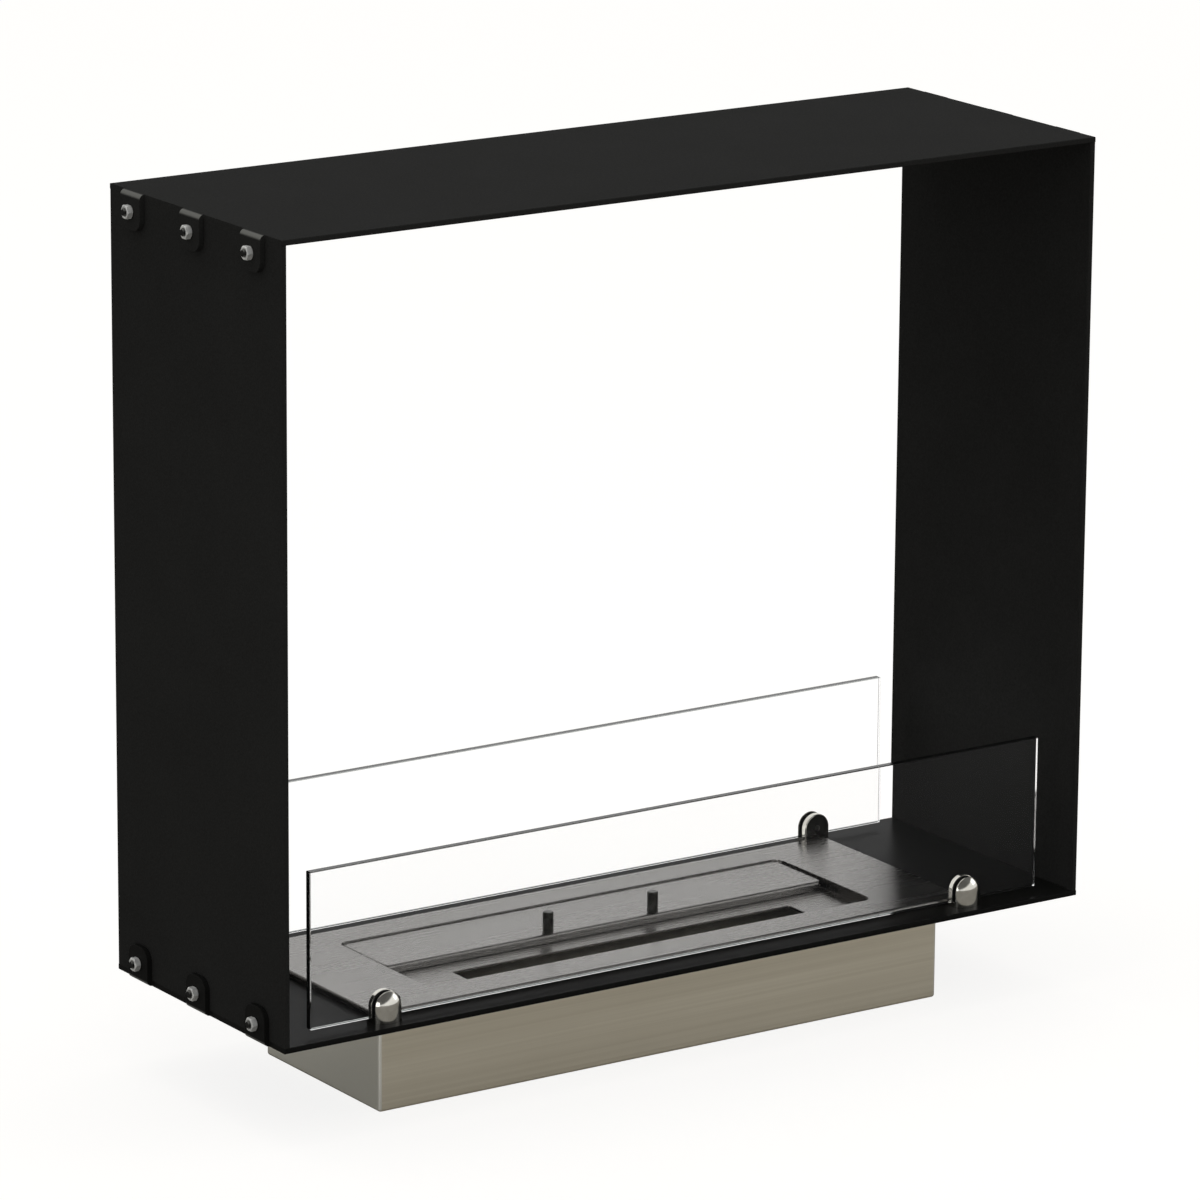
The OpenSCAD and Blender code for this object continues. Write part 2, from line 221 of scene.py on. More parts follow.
@dataclass(frozen=True)
class Finish:
    """A surface finish, which makes its material once and keeps it by name."""

    name: str
    slot: str

    def material(self) -> bpy.types.Material:
        """Gives the finish's material, made on the first call."""
        found = bpy.data.materials.get(self.name)
        if found is not None:
            return found
        made = bpy.data.materials.new(self.name)
        made.use_nodes = True
        tree = made.node_tree
        tree.nodes.clear()
        add_node(tree, "ShaderNodeOutputMaterial", links={"Surface": self.dress(tree)})
        return made

    def dress(self, tree: bpy.types.NodeTree) -> bpy.types.NodeSocket:
        """Builds the finish's nodes and gives the output of its shader."""
        raise NotImplementedError


@dataclass(frozen=True)
class PowderCoat(Finish):
    """Matt black fine-texture polyester powder coat, sprayed and baked on steel.

    It gives the eye a deep, nearly shineless black that still lifts a little
    where light grazes it, with a sandy texture too fine to count, faint clouds
    of uneven film, a rubbed, greyer film on the edges and corners, and a
    lighter grey painted along the bends as a highlight.
    """

    dark: str = "#242423"
    light: str = "#2e2e2d"
    rubbed: str = "#383836"
    # A painted highlight: the lighter grey painted along the crown of each bend
    bend_highlight: str = "#747470"
    shine: float = 0.004
    roughness: float = 0.62
    # The real texture's bumps are 0.3 mm apart. They are drawn at 1.1 mm, so
    # that they still show from a step away
    texture_mm: float = 1.1
    texture_depth_mm: float = 0.05
    texture_strength: float = 0.5
    cloud_mm: float = 55.0
    cloud_share: float = 0.25
    # Where in the film's noise the dark black ends and the light one is full
    film_span: tuple[float, float] = (0.4, 0.85)
    gloss_spread: float = 0.08
    edge_mm: float = 0.7
    # Cosine of the softened normal's turn where rubbing starts and is full
    rub_span: tuple[float, float] = (0.98, 0.78)
    rub_most: float = 0.5
    # |Nx Nz| where a bend's painted highlight starts to show and shows fully
    painted_bend_span: tuple[float, float] = (0.16, 0.42)

    def dress(self, tree: bpy.types.NodeTree) -> bpy.types.NodeSocket:
        """Builds clouds and grit of two blacks, rubbed edges and worn bends."""
        place = add_node(tree, "ShaderNodeTexCoord")
        grit = add_node(
            tree, "ShaderNodeTexNoise",
            {"Scale": 1 / (self.texture_mm * MM), "Detail": 3.0, "Roughness": 0.6},
            {"Vector": place.outputs["Object"]},
        )
        clouds = add_node(
            tree, "ShaderNodeTexNoise",
            {"Scale": 1 / (self.cloud_mm * MM), "Detail": 2.0, "Distortion": 0.4},
            {"Vector": place.outputs["Object"]},
        )
        film = add_node(
            tree, "ShaderNodeMath", {"operation": "MULTIPLY_ADD", 1: self.cloud_share},
            {0: clouds.outputs["Fac"], 2: grit.outputs["Fac"]},
        )
        coat = add_node(
            tree, "ShaderNodeValToRGB",
            {"color_ramp": tuple(zip(self.film_span, (self.dark, self.light)))},
            {"Fac": film.outputs["Value"]},
        )

        # Near an edge the softened normal leaves the face's own, and the film
        # there is rubbed, more in some clouds than in others
        soft = add_node(tree, "ShaderNodeBevel", {"Radius": self.edge_mm * MM, "samples": 4})
        own = add_node(tree, "ShaderNodeNewGeometry")
        turn = add_node(
            tree, "ShaderNodeVectorMath", {"operation": "DOT_PRODUCT"},
            {0: soft.outputs["Normal"], 1: own.outputs["Normal"]},
        )
        edge = add_node(
            tree, "ShaderNodeMapRange",
            {
                "From Min": self.rub_span[0], "From Max": self.rub_span[1],
                "To Max": self.rub_most,
            },
            {"Value": turn.outputs["Value"]},
        )
        rub = add_node(
            tree, "ShaderNodeMath", {"operation": "MULTIPLY", "use_clamp": True},
            {0: edge.outputs["Result"], 1: clouds.outputs["Fac"]},
        )
        worn = add_node(
            tree, "ShaderNodeMix", {"data_type": "RGBA", MIX_COLOUR_B: linear(self.rubbed)},
            {MIX_FACTOR: rub.outputs["Value"], MIX_COLOUR_A: coat.outputs["Color"]},
        )

        # On a bend between a level and an upright face |Nx Nz| rises to a half, and
        # there a lighter grey is painted in as a highlight
        facing = add_node(
            tree, "ShaderNodeSeparateXYZ", links={"Vector": own.outputs["True Normal"]}
        )
        slope = add_node(
            tree, "ShaderNodeMath", {"operation": "MULTIPLY"},
            {0: facing.outputs["X"], 1: facing.outputs["Z"]},
        )
        steep = add_node(
            tree, "ShaderNodeMath", {"operation": "ABSOLUTE"}, {0: slope.outputs["Value"]}
        )
        bent = add_node(
            tree, "ShaderNodeMapRange",
            {"From Min": self.painted_bend_span[0], "From Max": self.painted_bend_span[1]},
            {"Value": steep.outputs["Value"]},
        )
        colour = add_node(
            tree, "ShaderNodeMix", {"data_type": "RGBA", MIX_COLOUR_B: linear(self.bend_highlight)},
            {MIX_FACTOR: bent.outputs["Result"], MIX_COLOUR_A: worn.outputs[MIX_COLOUR_OUT]},
        )
        gloss = add_node(
            tree, "ShaderNodeMapRange",
            {
                "To Min": self.roughness - self.gloss_spread,
                "To Max": self.roughness + self.gloss_spread,
            },
            {"Value": clouds.outputs["Fac"]},
        )
        bump = add_node(
            tree, "ShaderNodeBump",
            {"Strength": self.texture_strength, "Distance": self.texture_depth_mm * MM},
            {"Height": grit.outputs["Fac"], "Normal": soft.outputs["Normal"]},
        )
        shader = add_node(
            tree, "ShaderNodeBsdfPrincipled",
            {"Metallic": 0.0, "IOR": 1.5, "Specular IOR Level": self.shine},
            {
                "Base Color": colour.outputs[MIX_COLOUR_OUT],
                "Roughness": gloss.outputs["Result"],
                "Normal": bump.outputs["Normal"],
            },
        )
        return shader.outputs["BSDF"]


@dataclass(frozen=True)
class BrushedSteel(Finish):
    """Stainless sheet brushed along its length by an abrasive belt.

    It gives the eye fine level streaks of lighter and darker grey, a soft
    reflection that is drawn out across the streaks and stays crisp along them,
    a few dull patches where it was handled, a painted tone on the end faces,
    which is painted shade on the deck and painted light on the casing, and a
    painted highlight on the upright corners.
    a few dull patches where it was handled, stained ends and rubbed corners.
    """

    dark: str = "#8f8d8a"
    light: str = "#999794"
    # A painted tone for the faces that end a sheet. By default it is painted shade,
    # a dark brown, for the deck's and lid's ends, which stand in the recess's
    # shade. On the casing it is painted light, lighter than the sheet
    ends: str = "#35322e"
    # Share of that painted tone on the bends between a level and an end face
    painted_end_bend_share: float = 0.75
    # A painted highlight on the upright corners, a bright line down each
    corner: str = "#c9c7c3"
    # |Nx| from which a face ends a sheet
    end_from: float = 0.7
    # |Nx Ny| of a corner and |Nx| Nz of a bend where the painted highlight and the
    # painted end tone start to show and show fully
    corner_highlight_span: tuple[float, float] = (0.08, 0.3)
    painted_bend_span: tuple[float, float] = (0.1, 0.35)
    roughness: float = 0.26
    # What the roughness gains where streaks and patches are lowest and highest
    gloss_span: tuple[float, float] = (-0.02, 0.03)
    stretch: float = 0.95
    # The way of the grain. Its small share of Y keeps its cross product with the
    # normal from vanishing on the end faces
    grain_way: tuple[float, float, float] = (1.0, 0.02, 0.0)
    # Belt scratches of 0.1 mm are drawn 2.5 mm wide, so that they show
    scratch_mm: float = 2.5
    run_mm: float = 600.0
    # Where in the streaks' noise the dark grey ends and the light one is full
    streak_span: tuple[float, float] = (0.3, 0.7)
    depth_mm: float = 0.001
    depth_strength: float = 0.5
    patch_mm: float = 70.0
    patch_share: float = 0.35
    # Where in the sum of streaks and patches the roughness starts and stops growing
    patch_span: tuple[float, float] = (0.4, 1.0)
    edge_mm: float = 0.5

    def streaks(
        self, tree: bpy.types.NodeTree, place: bpy.types.Node, run: tuple[float, float, float]
    ) -> bpy.types.Node:
        """Adds a noise drawn out along one axis.

        Args:
            tree: The material's node tree.
            place: The Texture Coordinate node.
            run: The size of a streak along X, Y and Z in millimetres.

        Returns:
            The noise node.
        """
        drawn = add_node(
            tree, "ShaderNodeMapping", {"Scale": tuple(1 / (mm * MM) for mm in run)},
            {"Vector": place.outputs["Object"]},
        )
        return add_node(
            tree, "ShaderNodeTexNoise", {"Scale": 1.0, "Detail": 2.0, "Roughness": 0.6},
            {"Vector": drawn.outputs["Vector"]},
        )

    def dress(self, tree: bpy.types.NodeTree) -> bpy.types.NodeSocket:
        """Builds streaks along X, and along Y on the faces that end a sheet."""
        place = add_node(tree, "ShaderNodeTexCoord")
        own = add_node(tree, "ShaderNodeNewGeometry")
        long = self.streaks(tree, place, (self.run_mm, self.scratch_mm, self.scratch_mm))
        short = self.streaks(tree, place, (self.scratch_mm, self.run_mm, self.scratch_mm))
        facing = add_node(
            tree, "ShaderNodeSeparateXYZ", links={"Vector": own.outputs["True Normal"]}
        )
        side = add_node(
            tree, "ShaderNodeMath", {"operation": "ABSOLUTE"}, {0: facing.outputs["X"]}
        )
        at_end = add_node(
            tree, "ShaderNodeMath", {"operation": "GREATER_THAN", 1: self.end_from},
            {0: side.outputs["Value"]},
        )
        grain = add_node(
            tree, "ShaderNodeMix", {"data_type": "FLOAT"},
            {
                MIX_FACTOR: at_end.outputs["Value"],
                MIX_NUMBER_A: long.outputs["Fac"],
                MIX_NUMBER_B: short.outputs["Fac"],
            },
        )
        patches = add_node(
            tree, "ShaderNodeTexNoise", {"Scale": 1 / (self.patch_mm * MM), "Detail": 3.0},
            {"Vector": place.outputs["Object"]},
        )
        colour = add_node(
            tree, "ShaderNodeValToRGB",
            {"color_ramp": tuple(zip(self.streak_span, (self.dark, self.light)))},
            {"Fac": grain.outputs["Result"]},
        )
        # The end faces take their painted tone: painted shade on the deck and lid
        shade = add_node(
            tree, "ShaderNodeMix", {"data_type": "RGBA", MIX_COLOUR_B: linear(self.ends)},
            {MIX_FACTOR: at_end.outputs["Value"], MIX_COLOUR_A: colour.outputs["Color"]},
        )

        # |Nx Ny| rises to a half on an upright corner, where a highlight is painted,
        # and |Nx| Nz does so on a bend from a level face down to an end face, which
        # takes part of the end faces' painted tone
        front = add_node(
            tree, "ShaderNodeMath", {"operation": "ABSOLUTE"}, {0: facing.outputs["Y"]}
        )
        for other, (start, full), most, tone in (
            (front.outputs["Value"], self.corner_highlight_span, 1.0, self.corner),
            (facing.outputs["Z"], self.painted_bend_span, self.painted_end_bend_share, self.ends),
        ):
            slant = add_node(
                tree, "ShaderNodeMath", {"operation": "MULTIPLY"},
                {0: side.outputs["Value"], 1: other},
            )
            turned = add_node(
                tree, "ShaderNodeMapRange", {"From Min": start, "From Max": full, "To Max": most},
                {"Value": slant.outputs["Value"]},
            )
            below = shade.outputs[MIX_COLOUR_OUT]
            shade = add_node(
                tree, "ShaderNodeMix", {"data_type": "RGBA", MIX_COLOUR_B: linear(tone)},
                {MIX_FACTOR: turned.outputs["Result"], MIX_COLOUR_A: below},
            )
        dull = add_node(
            tree, "ShaderNodeMath", {"operation": "MULTIPLY_ADD", 1: self.patch_share},
            {0: patches.outputs["Fac"], 2: grain.outputs["Result"]},
        )
        gloss = add_node(
            tree, "ShaderNodeMapRange",
            {
                "From Min": self.patch_span[0], "From Max": self.patch_span[1],
                "To Min": self.roughness + self.gloss_span[0],
                "To Max": self.roughness + self.gloss_span[1],
            },
            {"Value": dull.outputs["Value"]},
        )
        soft = add_node(tree, "ShaderNodeBevel", {"Radius": self.edge_mm * MM, "samples": 4})
        bump = add_node(
            tree, "ShaderNodeBump",
            {"Strength": self.depth_strength, "Distance": self.depth_mm * MM},
            {"Height": grain.outputs["Result"], "Normal": soft.outputs["Normal"]},
        )
        # The reflection is drawn out across the grain: along Y on a level face
        # and along Z on an upright one, which is the normal crossed with X
        across = add_node(
            tree, "ShaderNodeVectorMath", {"operation": "CROSS_PRODUCT", 1: self.grain_way},
            {0: own.outputs["True Normal"]},
        )
        shader = add_node(
            tree, "ShaderNodeBsdfPrincipled",
            {"Metallic": 1.0, "Anisotropic": self.stretch},
            {
                "Base Color": shade.outputs[MIX_COLOUR_OUT],
                "Roughness": gloss.outputs["Result"],
                "Normal": bump.outputs["Normal"],
                "Tangent": across.outputs["Vector"],
            },
        )
        return shader.outputs["BSDF"]


@dataclass(frozen=True)
class MachinedSteel(Finish):
    """Steel turned or milled and then polished, plated or blackened.

    It gives the eye a tight reflection with a trace of tool marks, corners
    that catch a thin line of light, and a faint tarnish that varies slowly.
    """

    dark: str = "#a8a59d"
    light: str = "#cbc8c0"
    metal: float = 1.0
    roughness: float = 0.18
    # The roughness of the cleanest and of the most tarnished place, as a share
    gloss_span: tuple[float, float] = (0.75, 1.3)
    mark_mm: float = 0.4
    depth_mm: float = 0.004
    depth_strength: float = 0.4
    tarnish_mm: float = 6.0
    # Where in the tarnish's noise the dark tone ends and the light one is full
    tarnish_span: tuple[float, float] = (0.35, 0.65)
    edge_mm: float = 0.35

    def dress(self, tree: bpy.types.NodeTree) -> bpy.types.NodeSocket:
        """Builds tool marks, tarnish and softened corners on a metal shader."""
        place = add_node(tree, "ShaderNodeTexCoord")
        marks = add_node(
            tree, "ShaderNodeTexNoise",
            {"Scale": 1 / (self.mark_mm * MM), "Detail": 2.0, "Roughness": 0.5},
            {"Vector": place.outputs["Object"]},
        )
        tarnish = add_node(
            tree, "ShaderNodeTexNoise",
            {"Scale": 1 / (self.tarnish_mm * MM), "Detail": 3.0, "Distortion": 0.6},
            {"Vector": place.outputs["Object"]},
        )
        colour = add_node(
            tree, "ShaderNodeValToRGB",
            {"color_ramp": tuple(zip(self.tarnish_span, (self.dark, self.light)))},
            {"Fac": tarnish.outputs["Fac"]},
        )
        gloss = add_node(
            tree, "ShaderNodeMapRange",
            {
                "To Min": self.roughness * self.gloss_span[0],
                "To Max": self.roughness * self.gloss_span[1],
            },
            {"Value": tarnish.outputs["Fac"]},
        )
        soft = add_node(tree, "ShaderNodeBevel", {"Radius": self.edge_mm * MM, "samples": 6})
        bump = add_node(
            tree, "ShaderNodeBump",
            {"Strength": self.depth_strength, "Distance": self.depth_mm * MM},
            {"Height": marks.outputs["Fac"], "Normal": soft.outputs["Normal"]},
        )
        shader = add_node(
            tree, "ShaderNodeBsdfPrincipled", {"Metallic": self.metal},
            {
                "Base Color": colour.outputs["Color"],
                "Roughness": gloss.outputs["Result"],
                "Normal": bump.outputs["Normal"],
            },
        )
        return shader.outputs["BSDF"]


@dataclass(frozen=True)
class FloatGlass(Finish):
    """Clear toughened float glass with seamed and fine-ground edges.

    It gives the eye a nearly unseen pane, drawn round by edges that flash
    light or go dark with what they pass on, and a top edge painted darker as
    painted shade.
    """

    # What each face or edge lets through
    tint: str = "#fdfdfd"
    # Painted shade that draws the ground top edge as a dark line
    dust: str = "#7c817f"
    ior: float = 1.5
    # The edges mirror and so catch the light. The faces don't, as when seen
    # through a polarising filter
    edge_mirror: str = "#808080"
    edge_roughness: float = 0.06
    # |Ny| where the edges' roughness starts to fall and is gone, and from which
    # a place counts as face
    edge_span: tuple[float, float] = (0.9, 0.99)
    face_from: float = 0.95
    # Nz where the top edge starts to show its dust and shows it fully
    top_span: tuple[float, float] = (0.4, 0.6)
    # Share of a face's light that its film of fine dust scatters
    haze: float = 0.005
    wave_mm: float = 140.0
    wave_depth_mm: float = 0.004
    wave_strength: float = 0.2

    def dress(self, tree: bpy.types.NodeTree) -> bpy.types.NodeSocket:
        """Builds clear faces with a slow draw wave and dust, and ground edges."""
        place = add_node(tree, "ShaderNodeTexCoord")
        own = add_node(tree, "ShaderNodeNewGeometry")
        facing = add_node(
            tree, "ShaderNodeSeparateXYZ", links={"Vector": own.outputs["True Normal"]}
        )
        flat = add_node(
            tree, "ShaderNodeMath", {"operation": "ABSOLUTE"}, {0: facing.outputs["Y"]}
        )
        dull = add_node(
            tree, "ShaderNodeMapRange",
            {
                "From Min": self.edge_span[0], "From Max": self.edge_span[1],
                "To Min": self.edge_roughness, "To Max": 0.0,
            },
            {"Value": flat.outputs["Value"]},
        )
        wave = add_node(
            tree, "ShaderNodeTexNoise", {"Scale": 1 / (self.wave_mm * MM), "Detail": 1.0},
            {"Vector": place.outputs["Object"]},
        )
        bump = add_node(
            tree, "ShaderNodeBump",
            {"Strength": self.wave_strength, "Distance": self.wave_depth_mm * MM},
            {"Height": wave.outputs["Fac"]},
        )
        # The top edge, facing up, takes the darker colour as painted shade
        up = add_node(
            tree, "ShaderNodeMapRange",
            {"From Min": self.top_span[0], "From Max": self.top_span[1]},
            {"Value": facing.outputs["Z"]},
        )
        colour = add_node(
            tree, "ShaderNodeMix",
            {
                "data_type": "RGBA",
                MIX_COLOUR_A: linear(self.tint), MIX_COLOUR_B: linear(self.dust),
            },
            {MIX_FACTOR: up.outputs["Result"]},
        )
        at_face = add_node(
            tree, "ShaderNodeMath", {"operation": "GREATER_THAN", 1: self.face_from},
            {0: flat.outputs["Value"]},
        )
        ground = add_node(
            tree, "ShaderNodeBsdfPrincipled",
            {
                "Transmission Weight": 1.0, "IOR": self.ior,
                "Specular Tint": linear(self.edge_mirror),
            },
            {
                "Base Color": colour.outputs[MIX_COLOUR_OUT],
                "Roughness": dull.outputs["Result"],
                "Normal": bump.outputs["Normal"],
            },
        )
        face = add_node(
            tree, "ShaderNodeBsdfRefraction",
            {"Color": linear(self.tint), "Roughness": 0.0, "IOR": self.ior},
            {"Normal": bump.outputs["Normal"]},
        )
        film = add_node(tree, "ShaderNodeBsdfDiffuse", {"Color": linear(WHITE)})
        dusty = add_node(
            tree, "ShaderNodeMixShader", {0: self.haze},
            {1: face.outputs["BSDF"], 2: film.outputs["BSDF"]},
        )
        pane = add_node(
            tree, "ShaderNodeMixShader",
            links={
                0: at_face.outputs["Value"], 1: ground.outputs["BSDF"],
                2: dusty.outputs["Shader"],
            },
        )
        # Lamps and sky light what stands behind the glass straight through it
        path = add_node(tree, "ShaderNodeLightPath")
        clear = add_node(tree, "ShaderNodeBsdfTransparent", {"Color": linear(self.tint)})
        both = add_node(
            tree, "ShaderNodeMixShader",
            links={
                0: path.outputs["Is Shadow Ray"], 1: pane.outputs["Shader"],
                2: clear.outputs["BSDF"],
            },
        )
        return both.outputs["Shader"]


@dataclass(frozen=True)
class SoftRubber(Finish):
    """Moulded EPDM rubber, cut to a liner.

    It gives the eye a dead black with a dusty bloom in slow patches.
    """

    dark: str = "#0c0c0c"
    bloom: str = "#1d1d1c"
    roughness: float = 0.8
    gloss_span: tuple[float, float] = (-0.1, 0.15)
    bloom_mm: float = 3.0
    pore_mm: float = 0.5
    pore_depth_mm: float = 0.03
    pore_strength: float = 0.6

    def dress(self, tree: bpy.types.NodeTree) -> bpy.types.NodeSocket:
        """Builds a dusty bloom and shallow pores on a dull shader."""
        place = add_node(tree, "ShaderNodeTexCoord")
        dust = add_node(
            tree, "ShaderNodeTexNoise", {"Scale": 1 / (self.bloom_mm * MM), "Detail": 4.0},
            {"Vector": place.outputs["Object"]},
        )
        pores = add_node(
            tree, "ShaderNodeTexNoise", {"Scale": 1 / (self.pore_mm * MM), "Detail": 2.0},
            {"Vector": place.outputs["Object"]},
        )
        colour = add_node(
            tree, "ShaderNodeValToRGB",
            {"color_ramp": ((0.0, self.dark), (1.0, self.bloom))},
            {"Fac": dust.outputs["Fac"]},
        )
        gloss = add_node(
            tree, "ShaderNodeMapRange",
            {
                "To Min": self.roughness + self.gloss_span[0],
                "To Max": self.roughness + self.gloss_span[1],
            },
            {"Value": dust.outputs["Fac"]},
        )
        bump = add_node(
            tree, "ShaderNodeBump",
            {"Strength": self.pore_strength, "Distance": self.pore_depth_mm * MM},
            {"Height": pores.outputs["Fac"]},
        )
        shader = add_node(
            tree, "ShaderNodeBsdfPrincipled", {"Specular IOR Level": 0.25, "IOR": 1.5},
            {
                "Base Color": colour.outputs["Color"],
                "Roughness": gloss.outputs["Result"],
                "Normal": bump.outputs["Normal"],
            },
        )
        return shader.outputs["BSDF"]


@dataclass(frozen=True)
class CeramicFibre(Finish):
    """Needled ceramic fibre blanket, cut and packed in layers.

    It gives the eye a soft off-white felt of short crossing fibres, stained a
    little brown where fuel and flame have been.
    """

    pale: str = "#d8d2c3"
    shade: str = "#b4ac99"
    stain: str = "#7d7160"
    fibre_mm: float = 0.7
    fibre_run_mm: float = 9.0
    # How far each lay of fibres is turned, in radians
    lay_turns: tuple[float, ...] = (0.35, -0.5)
    # Where in the felt's noise the shade ends and the pale tone is full
    felt_span: tuple[float, float] = (0.4, 0.7)
    gloss_span: tuple[float, float] = (0.85, 1.0)
    depth_mm: float = 0.35
    depth_strength: float = 0.8
    stain_mm: float = 38.0
    stain_span: tuple[float, float] = (0.5, 0.8)
    stain_most: float = 0.55

    def dress(self, tree: bpy.types.NodeTree) -> bpy.types.NodeSocket:
        """Builds two crossed lays of fibres, stains and a dull felt shader."""
        place = add_node(tree, "ShaderNodeTexCoord")
        lays = []
        for turn in self.lay_turns:
            laid = add_node(
                tree, "ShaderNodeMapping",
                {
                    "Rotation": (0.0, 0.0, turn),
                    "Scale": tuple(
                        1 / (mm * MM) for mm in (self.fibre_run_mm, self.fibre_mm, self.fibre_mm)
                    ),
                },
                {"Vector": place.outputs["Object"]},
            )
            lays.append(
                add_node(
                    tree, "ShaderNodeTexNoise",
                    {"Scale": 1.0, "Detail": 3.0, "Distortion": 0.8},
                    {"Vector": laid.outputs["Vector"]},
                )
            )
        felt = add_node(
            tree, "ShaderNodeMath", {"operation": "MAXIMUM"},
            {0: lays[0].outputs["Fac"], 1: lays[1].outputs["Fac"]},
        )
        tone = add_node(
            tree, "ShaderNodeValToRGB",
            {"color_ramp": tuple(zip(self.felt_span, (self.shade, self.pale)))},
            {"Fac": felt.outputs["Value"]},
        )
        spots = add_node(
            tree, "ShaderNodeTexNoise", {"Scale": 1 / (self.stain_mm * MM), "Detail": 4.0},
            {"Vector": place.outputs["Object"]},
        )
        soaked = add_node(
            tree, "ShaderNodeMapRange",
            {
                "From Min": self.stain_span[0], "From Max": self.stain_span[1],
                "To Max": self.stain_most,
            },
            {"Value": spots.outputs["Fac"]},
        )
        colour = add_node(
            tree, "ShaderNodeMix", {"data_type": "RGBA", MIX_COLOUR_B: linear(self.stain)},
            {MIX_FACTOR: soaked.outputs["Result"], MIX_COLOUR_A: tone.outputs["Color"]},
        )
        gloss = add_node(
            tree, "ShaderNodeMapRange",
            {"To Min": self.gloss_span[0], "To Max": self.gloss_span[1]},
            {"Value": felt.outputs["Value"]},
        )
        bump = add_node(
            tree, "ShaderNodeBump",
            {"Strength": self.depth_strength, "Distance": self.depth_mm * MM},
            {"Height": felt.outputs["Value"]},
        )
        shader = add_node(
            tree, "ShaderNodeBsdfPrincipled",
            {"Specular IOR Level": 0.2, "IOR": 1.5, "Sheen Weight": 0.2},
            {
                "Base Color": colour.outputs[MIX_COLOUR_OUT],
                "Roughness": gloss.outputs["Result"],
                "Normal": bump.outputs["Normal"],
            },
        )
        return shader.outputs["BSDF"]


@dataclass(frozen=True)
class WhiteSweep(Finish):
    """Matt white studio paper.

    It gives the eye a plain white ground with the object's soft shadow on it.
    """

    paper: str = "#96938d"
    glow: float = 0.83
    glow_in_metal: float = 0.06

    def dress(self, tree: bpy.types.NodeTree) -> bpy.types.NodeSocket:
        """Builds matt paper whose own white shows to the eye, metal and glass."""
        path = add_node(tree, "ShaderNodeLightPath")
        seen = add_node(
            tree, "ShaderNodeMath", {"operation": "MAXIMUM"},
            {0: path.outputs["Is Camera Ray"], 1: path.outputs["Is Transmission Ray"]},
        )
        white = add_node(
            tree, "ShaderNodeMath", {"operation": "MULTIPLY", 1: self.glow},
            {0: seen.outputs["Value"]},
        )
        level = add_node(
            tree, "ShaderNodeMath", {"operation": "MULTIPLY_ADD", 1: self.glow_in_metal},
            {0: path.outputs["Is Glossy Ray"], 2: white.outputs["Value"]},
        )
        light = add_node(
            tree, "ShaderNodeEmission", {"Color": linear(WHITE)},
            {"Strength": level.outputs["Value"]},
        )
        matt = add_node(tree, "ShaderNodeBsdfDiffuse", {"Color": linear(self.paper)})
        both = add_node(
            tree, "ShaderNodeAddShader",
            links={0: light.outputs["Emission"], 1: matt.outputs["BSDF"]},
        )
        return both.outputs["Shader"]


# -------------------------------------------------------------- sub-assemblies


def dress_nodes(
    nodes: Mapping[str, bpy.types.Object], names: Sequence[str], finish: Finish
) -> None:
    """Gives CAD nodes a finish and reports each one.

    Args:
        nodes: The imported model's nodes by name.
        names: The nodes to dress.
        finish: The finish that they get.
    """
    for name in names:
        mesh = nodes[name].data
        mesh.materials.clear()
        mesh.materials.append(finish.material())
        log.info("dressed %s in %s", name, finish.name)


def add_piece(
    piece: bpy.types.Object, finish: Finish, body: str, replaced: Sequence[str]
) -> None:
    """Dresses a new piece, ties it to a CAD body and reports it.

    Args:
        piece: The new piece.
        finish: Its finish.
        body: The CAD body that it moves with.
        replaced: The CAD nodes that it stands for.
    """
    piece.data.materials.append(finish.material())
    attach(piece, body)
    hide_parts(*replaced)
    log.info("made %s on %s with %d faces", piece.name, body, len(piece.data.polygons))


class Side(Enum):
    """A side panel, and the way along X in which its studs point."""

    LEFT = -1
    RIGHT = 1


